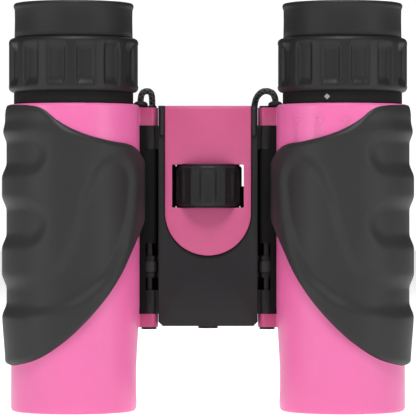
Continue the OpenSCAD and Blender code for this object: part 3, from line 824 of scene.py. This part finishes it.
@dataclass
class Armour:
    """Soft rubber armour of one barrel, with finger places and a thumb groove. Millimetres.

    Its places are taken for the right barrel, whose outer side is +X; the left one mirrors them.
    """

    side: Side
    axis_x: float = 36.5
    body: float = 17.9
    flat: float = 18.3
    mound: float = 19.45
    floor_gap: float = 0.15
    wall: float = 0.5
    first_angle: float = -104.0
    last_angle: float = 216.0
    cells: tuple[int, int] = (210, 150)
    finger_depth: float = 1.25
    finger_bank: float = 4.2
    thumb_depth: float = 1.15
    thumb_bank: float = 3.6
    girth_radius: float = 18.6
    edge_round: float = 1.3
    taper: float = 0.9
    taper_heights: Pair = (11.0, 28.0)
    fingers: tuple[tuple[float, float, float], ...] = (
        (24.2, 69.8, 6.7), (24.2, 51.2, 7.3), (24.2, 31.3, 6.0))
    thumb: tuple[tuple[float, float, float], ...] = (
        (41.8, 61.5, 8.6), (40.0, 55.0, 9.4), (37.6, 47.3, 8.9), (34.5, 40.7, 8.1),
        (30.0, 35.5, 6.8), (24.0, 32.3, 6.2), (16.0, 31.3, 6.1), (8.0, 31.2, 6.0))
    lower_edge: tuple[Pair, ...] = (
        (-19.1, 60.5), (-18.8, 54.0), (-17.7, 48.8), (-14.8, 41.0), (-12.5, 35.9), (-8.8, 30.1),
        (-3.5, 24.0), (2.0, 19.2), (9.2, 14.8), (16.5, 12.6), (18.5, 12.45))
    upper_edge: tuple[Pair, ...] = (
        (-19.1, 64.5), (-18.8, 66.5), (-17.7, 69.8), (-16.1, 71.9), (-11.0, 72.9), (-5.2, 74.3),
        (-0.2, 76.2), (4.1, 78.7), (7.2, 81.2), (10.2, 82.3), (18.3, 82.85))

    def build(self) -> None:
        """Moulds the armour and mounts it on its barrel."""
        bm = moulded(*self.cells, self.skin_point)
        bmesh.ops.recalc_face_normals(bm, faces=bm.faces[:])
        bmesh.ops.solidify(bm, geom=bm.faces[:], thickness=self.wall * MM)
        piece = finished(f"{self.side.word}_armour_moulded", bm, ARMOUR_RUBBER)
        mounted(piece, self.side.barrel, ARMOUR_RUBBER, f"{self.side.word}_armour")

    def skin_point(self, u: float, v: float) -> Point:
        """Places one point of the outer skin from its shares round and up."""
        span = self.last_angle - self.first_angle
        angle = self.first_angle + span * eased(u)
        across = self.flat * math.sin(math.radians(angle))
        low, high = along(self.lower_edge, across), along(self.upper_edge, across)
        height = low + (high - low) * eased(v)
        ends = min(angle - self.first_angle, self.last_angle - angle) * math.radians(self.flat)
        lean = 0.75 if abs(math.cos(math.radians(angle))) > 0.4 else 1.0
        edge = min(ends, (height - low) * lean, (high - height) * lean)
        radius = self.radius_at(angle, height, edge)
        turn = math.radians(angle)
        x = self.axis_x + radius * math.sin(turn)
        return (self.side.value * x, -radius * math.cos(turn), height)

    def radius_at(self, angle: float, height: float, edge: float) -> float:
        """Finds how far the skin stands from the barrel's axis.

        Args:
            angle: Angle from the underside towards the outer side, in degrees.
            height: Height above the floor.
            edge: Distance to the skin's nearest edge.

        Returns:
            The radius there.
        """
        taper = self.taper * (1.0 - smooth_step(*self.taper_heights, height))
        thick = self.mound - taper
        thick -= self.crown_fall(height)
        thick -= self.hollows(angle, height)
        base = self.body - taper - self.floor_gap
        share = min(max(edge / self.edge_round, 0.0), 1.0)
        return base + (thick - base) * math.sqrt(share * (2.0 - share))

    def crown_fall(self, height: float) -> float:
        """Thins the rubber towards the shoulder."""
        return 0.85 * smooth_step(74.0, 79.0, height) + 0.3 * smooth_step(80.0, 83.0, height)

    def hollows(self, angle: float, height: float) -> float:
        """Depth of the deepest finger place or thumb groove at a point."""
        around = math.radians(90.0 - angle) * self.girth_radius
        depth = 0.0
        for reach, middle, half in self.fingers:
            past = max(abs(around) - (reach - half), 0.0)
            inside = half - math.hypot(past, height - middle)
            depth = max(depth, self.finger_depth * smooth_step(0.0, self.finger_bank, inside))
        inside = self.thumb_inside(around, height)
        return max(depth, self.thumb_depth * smooth_step(0.0, self.thumb_bank, inside))

    def thumb_inside(self, around: float, height: float) -> float:
        """How far a point of the skin lies inside the thumb groove's bank."""
        inside = -9.0
        for (ax, az, aw), (bx, bz, bw) in zip(self.thumb, self.thumb[1:]):
            dx, dz = bx - ax, bz - az
            t = min(max(((around - ax) * dx + (height - az) * dz) / (dx * dx + dz * dz), 0.0), 1.0)
            gap = math.hypot(around - ax - t * dx, height - az - t * dz)
            inside = max(inside, aw + t * (bw - aw) - gap)
        return inside


@dataclass
class Eyepiece:
    """Collar, fluted grip ring and soft eyecup of one barrel. Millimetres."""

    side: Side
    axis_x: float = 36.5
    flutes: int = 14
    grip_reach: float = 17.6
    grip_low: float = 86.3
    grip_high: float = 101.0
    grip_bore: float = 11.6
    grip_land: float = 13.5
    flute_depth: float = 0.85
    flute_steps: int = 26
    cup_reach: float = 16.3
    cup_high: float = 110.5
    cup_bore: float = 10.45
    index_reach: float = 16.25
    index_angle: float = -17.0
    index_height: float = 84.75
    index_size: float = 0.8

    @property
    def body(self) -> str:
        """The dioptre ring on the right, and the barrel itself on the left."""
        return "dioptre_ring" if self.side is Side.RIGHT else self.side.barrel

    @property
    def axis(self) -> Pair:
        """Where the optical axis stands."""
        return (self.side.value * self.axis_x, 0.0)

    def build(self) -> None:
        """Makes the rings, from the shoulder up."""
        word = self.side.word
        collar = softened(f"{word}_collar", 0.25, COLLAR_BLACK)
        mounted(collar, self.body, COLLAR_BLACK, f"{word}_collar")
        mounted(self.grip(), self.body, GRIP_RUBBER, f"{word}_grip_ring")
        mounted(self.cup(), self.body, CUP_RUBBER, f"{word}_eyecup")
        if self.side is Side.RIGHT:
            mounted(self.index_mark(), self.body, INDEX_PAINT)

    def grip(self) -> bpy.types.Object:
        """Moulds the grip ring with its wide flat-bottomed flutes."""
        reach, low, high = self.grip_reach, self.grip_low, self.grip_high
        bore, land = self.grip_bore, self.grip_land
        outline = [(bore, low), (land, low), (reach - 1.35, low), (reach - 1.2, low + 0.02)]
        outline += [(reach - 1.2 + 1.2 * math.sin(a), low + 1.35 - 1.3 * math.cos(a))
                    for a in (0.4, 0.8, 1.2)]
        rows = 14
        outline += [(reach, low + 1.5 + (high - low - 3.0) * k / rows) for k in range(rows + 1)]
        outline += [(reach - 1.2 + 1.2 * math.sin(a), high - 1.35 + 1.3 * math.cos(a))
                    for a in (1.2, 0.8, 0.4)]
        outline += [(reach - 1.2, high - 0.02), (reach - 1.35, high), (land, high), (bore, high)]
        bm = ring_skin(outline, self.axis, self.flutes * self.flute_steps, self.fluted)
        return finished(f"{self.side.word}_grip_ring_fluted", bm, GRIP_RUBBER)

    def fluted(self, angle: float, radius: float, height: float) -> float:
        """Sinks the flutes into the ring's outer wall.

        Args:
            angle: Angle round the axis.
            radius: The plain ring's radius.
            height: Height above the floor.

        Returns:
            The radius with the flutes.
        """
        if radius < self.grip_reach - 0.9:
            return radius
        pitch = math.tau / self.flutes
        off = abs((angle + pitch / 2) % pitch - pitch / 2) * radius
        wide = 1.0 - smooth_step(1.75, 2.75, off)
        tall = smooth_step(self.grip_low + 1.6, self.grip_low + 3.2, height)
        tall *= 1.0 - smooth_step(self.grip_high - 3.2, self.grip_high - 1.6, height)
        return radius - self.flute_depth * wide * tall

    def cup(self) -> bpy.types.Object:
        """Turns the soft eyecup with its rolled rim."""
        low, high, reach = self.grip_high, self.cup_high, self.cup_reach
        outline = [
            (self.cup_bore, low), (reach - 0.5, low), (reach - 0.25, low + 0.25), (reach - 0.3, low + 2.0),
            (reach - 0.35, low + 5.0), (reach - 0.3, high - 1.9), (reach - 0.2, high - 1.5),
            (reach - 0.02, high - 1.15), (reach, high - 0.8), (reach - 0.1, high - 0.35),
            (reach - 0.4, high - 0.08), (reach - 0.8, high), (reach - 1.4, high - 0.05),
            (reach - 1.8, high - 0.35), (reach - 2.0, high - 0.9), (reach - 2.05, low + 3.2),
            (reach - 2.4, low + 2.55), (reach - 3.0, low + 2.35), (10.9, low + 1.75),
            (self.cup_bore, low + 1.5)]
        bm = turned(outline, self.axis, 128)
        return finished(f"{self.side.word}_eyecup_moulded", bm, CUP_RUBBER)

    def index_mark(self) -> bpy.types.Object:
        """Makes the small diamond that points at the dioptre scale."""
        reach, turn = self.index_reach, math.radians(self.index_angle)
        bm = bmesh.new()
        bmesh.ops.create_circle(bm, cap_ends=True, segments=4, radius=self.index_size * MM)
        extruded = bmesh.ops.extrude_face_region(bm, geom=bm.faces[:])
        raised = [v for v in extruded["geom"] if isinstance(v, bmesh.types.BMVert)]
        bmesh.ops.translate(bm, vec=(0.0, 0.0, 0.25 * MM), verts=raised)
        out = Vector((math.sin(turn), -math.cos(turn), 0.0))
        flat = Vector((math.cos(turn), math.sin(turn), 0.0))
        middle = Vector((
            self.axis[0] + reach * math.sin(turn), -reach * math.cos(turn), self.index_height)) * MM
        for vert in bm.verts:
            x, y, z = vert.co
            vert.co = middle + flat * x + Vector((0.0, 0.0, y)) + out * (z - 0.1 * MM)
        return finished("dioptre_index", bm, INDEX_PAINT, Edge.CRISP)


@dataclass
class Barrel:
    """Housing, hinge cover, strap lug and objective of one barrel."""

    side: Side
    # The housing's hinge arms and the hinge cover wear painted shade.
    soft_edges: dict[str, tuple[float, Any]] = field(default_factory=lambda: {
        "housing": (0.3, PINK_SHELL), "hinge_cover": (0.4, HINGE_SHADE_BLACK),
        "strap_lug": (0.2, BLACK_PLASTIC), "objective_ring": (0.2, INNER_BLACK)})

    def build(self) -> None:
        """Rounds the moulded pieces' edges."""
        for word, (width, finish) in self.soft_edges.items():
            node = f"{self.side.word}_{word}"
            mounted(softened(node, width, finish), self.side.barrel, finish, node)


# ---- Bridge ----


@dataclass
class Bridge:
    """Bridge between the hinges, with its cover plate and its wheel. Millimetres."""

    wheel_y: float = 10.0
    wheel_reach: float = 9.3
    wheel_low: float = 55.4
    wheel_high: float = 66.6
    tyre_bore: float = 7.72
    facets: int = 18
    facet_steps: int = 16
    facet_depth: float = 0.4
    finger_x: Pair = (11.95, 13.35)
    finger_y: Pair = (4.7, 6.2)
    finger_z: Pair = (74.7, 82.5)
    strip: tuple[Point, Point] = ((13.5, 10.75, 26.3), (18.3, 11.45, 77.4))
    lining_y: Pair = (13.9, 14.5)
    lining_x: Pair = (8.9, 10.2)
    lining_z: Pair = (55.45, 66.55)
    lining_lap: float = 0.5
    washer_reach: float = 8.7
    washer_bore: float = 1.9
    washer_thick: float = 0.36

    def build(self) -> None:
        """Makes the bridge's visible pieces."""
        # The bridge body's edges by the hinges are painted near-black as shade.
        mounted(softened("bridge_body", 0.25, BRIDGE_BLACK), "bridge", BRIDGE_BLACK, "bridge_body")
        # The cover plate wears the pink darkened as painted shade.
        mounted(softened("cover_plate", 0.3, PINK_PLATE_SHADED), "bridge", PINK_PLATE_SHADED, "cover_plate")
        mounted(softened("rear_plate", 0.15, BLACK_PLASTIC), "bridge", BLACK_PLASTIC, "rear_plate")
        mounted(self.tyre(), "focus_wheel", GRIP_RUBBER, "focus_tyre")
        for piece in self.washers():
            mounted(piece, "focus_wheel", BLACK_PLASTIC)
        for piece in self.lining():
            mounted(piece, "bridge", BLACK_PLASTIC)
        for side in Side:
            mounted(self.side_finger(side), "bridge", BLACK_PLASTIC)
            mounted(self.dust_strip(side), "bridge", HINGE_SHADE_BLACK)

    def tyre(self) -> bpy.types.Object:
        """Moulds the wheel's tyre with soft upright facets."""
        low, high, reach = self.wheel_low, self.wheel_high, self.wheel_reach
        bore = self.tyre_bore
        outline = [(bore, low), (reach - 0.75, low), (reach - 0.3, low + 0.2), (reach, low + 0.65)]
        outline += [(reach, low + 0.65 + (high - low - 1.3) * k / 8) for k in range(1, 9)]
        outline += [(reach - 0.3, high - 0.2), (reach - 0.75, high), (bore, high)]
        bm = ring_skin(outline, (0.0, self.wheel_y), self.facets * self.facet_steps, self.faceted)
        return finished("focus_tyre_moulded", bm, GRIP_RUBBER)

    def faceted(self, angle: float, radius: float, height: float) -> float:
        """Sinks the hollows between the tyre's ribs."""
        if radius < self.wheel_reach - 0.4:
            return radius
        pitch = math.tau / self.facets
        off = abs(angle % pitch - pitch / 2) / (pitch / 2)
        tall = smooth_step(self.wheel_low + 0.7, self.wheel_low + 1.8, height)
        tall *= 1.0 - smooth_step(self.wheel_high - 1.8, self.wheel_high - 0.7, height)
        return radius - self.facet_depth * (1.0 - smooth_step(0.35, 1.0, off)) * tall

    def washers(self) -> list[bpy.types.Object]:
        """Turns the thrust washers that close both faces of the wheel."""
        made = []
        bore, reach, thick = self.washer_bore, self.washer_reach, self.washer_thick
        for name, low in (("lower", self.wheel_low - thick), ("upper", self.wheel_high)):
            outline = [(bore, low), (reach, low), (reach, low + thick), (bore, low + thick)]
            bm = turned(outline, (0.0, self.wheel_y))
            made.append(finished(f"{name}_thrust_washer", bm, BLACK_PLASTIC))
        return made

    def lining(self) -> list[bpy.types.Object]:
        """Makes the light baffles behind the wheel, the right one only half as tall."""
        near, far = self.lining_y
        inner, outer = self.lining_x
        low, high = self.lining_z
        half, lap = (low + high) / 2, self.lining_lap
        spans = {
            "left_baffle": ((-outer, near, low - lap), (-inner, far, high + lap)),
            "right_baffle": ((inner, near, low - lap), (outer, far, half)),
        }
        return [finished(name, block(a, b, 0.1), BLACK_PLASTIC) for name, (a, b) in spans.items()]

    def dust_strip(self, side: Side) -> bpy.types.Object:
        """Makes the strip that keeps dust out of the gap behind one hinge."""
        (x0, y0, z0), (x1, y1, z1) = self.strip
        xs = sorted((side.value * x0, side.value * x1))
        bm = block((xs[0], y0, z0), (xs[1], y1, z1), 0.2)
        # The strip wears black painted near-black as the shade behind the hinge.
        return finished(f"{side.word}_dust_strip", bm, HINGE_SHADE_BLACK)

    def side_finger(self, side: Side) -> bpy.types.Object:
        """Makes the raised rib beside the top of the cover plate."""
        low, high = self.finger_z
        near, far = self.finger_y
        xs = sorted(side.value * x for x in self.finger_x)
        bm = block((xs[0], near, low), (xs[1], far, high), 0.6)
        return finished(f"{side.word}_side_rib", bm, BLACK_PLASTIC)


# ---- Everything that keeps its CAD shape ----


@dataclass
class Insides:
    """Optics, shafts and screws, which keep the frame's own shapes."""

    finishes: dict[str, Any] = field(default_factory=lambda: {
        "plate_screws": BRIGHT_STEEL, "hinge_shafts": DARK_STEEL, "focus_bushes": BLACK_PLASTIC,
        "focus_wheel": BLACK_PLASTIC, "focus_screw": BRIGHT_STEEL, "focus_carriage": CAST_ALLOY,
        "objective_cell": INNER_BLACK, "objective_crown": COATED_GLASS,
        "objective_flint": COATED_GLASS, "focus_cell": BLACK_PLASTIC, "focus_lens": COATED_GLASS,
        "prism_cage": INNER_BLACK, "roof_prism": PRISM_GLASS, "half_prism": PRISM_GLASS,
        "field_stop": INNER_BLACK, "eyepiece_tube": BLACK_PLASTIC, "ocular_cell": BLACK_PLASTIC,
        "field_lens": COATED_GLASS, "eye_lens": COATED_GLASS})

    def build(self) -> None:
        """Dresses every node that still shows."""
        for name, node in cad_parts.items():
            if node.hide_render:
                continue
            word = name.removeprefix("left_").removeprefix("right_")
            finish = self.finishes[word]
            node.data.materials.clear()
            node.data.materials.append(finish.material())
            LOG.info("%s wears %s", name, finish.name)


def main() -> None:
    """Builds the studio and then the binoculars, from the strap inwards."""
    Studio().build()
    Strap().build()
    for side in Side:
        Armour(side).build()
        Eyepiece(side).build()
        Barrel(side).build()
    Bridge().build()
    Insides().build()


if __name__ == "__main__":
    logging.basicConfig(level=logging.INFO, format="%(message)s")
    main()
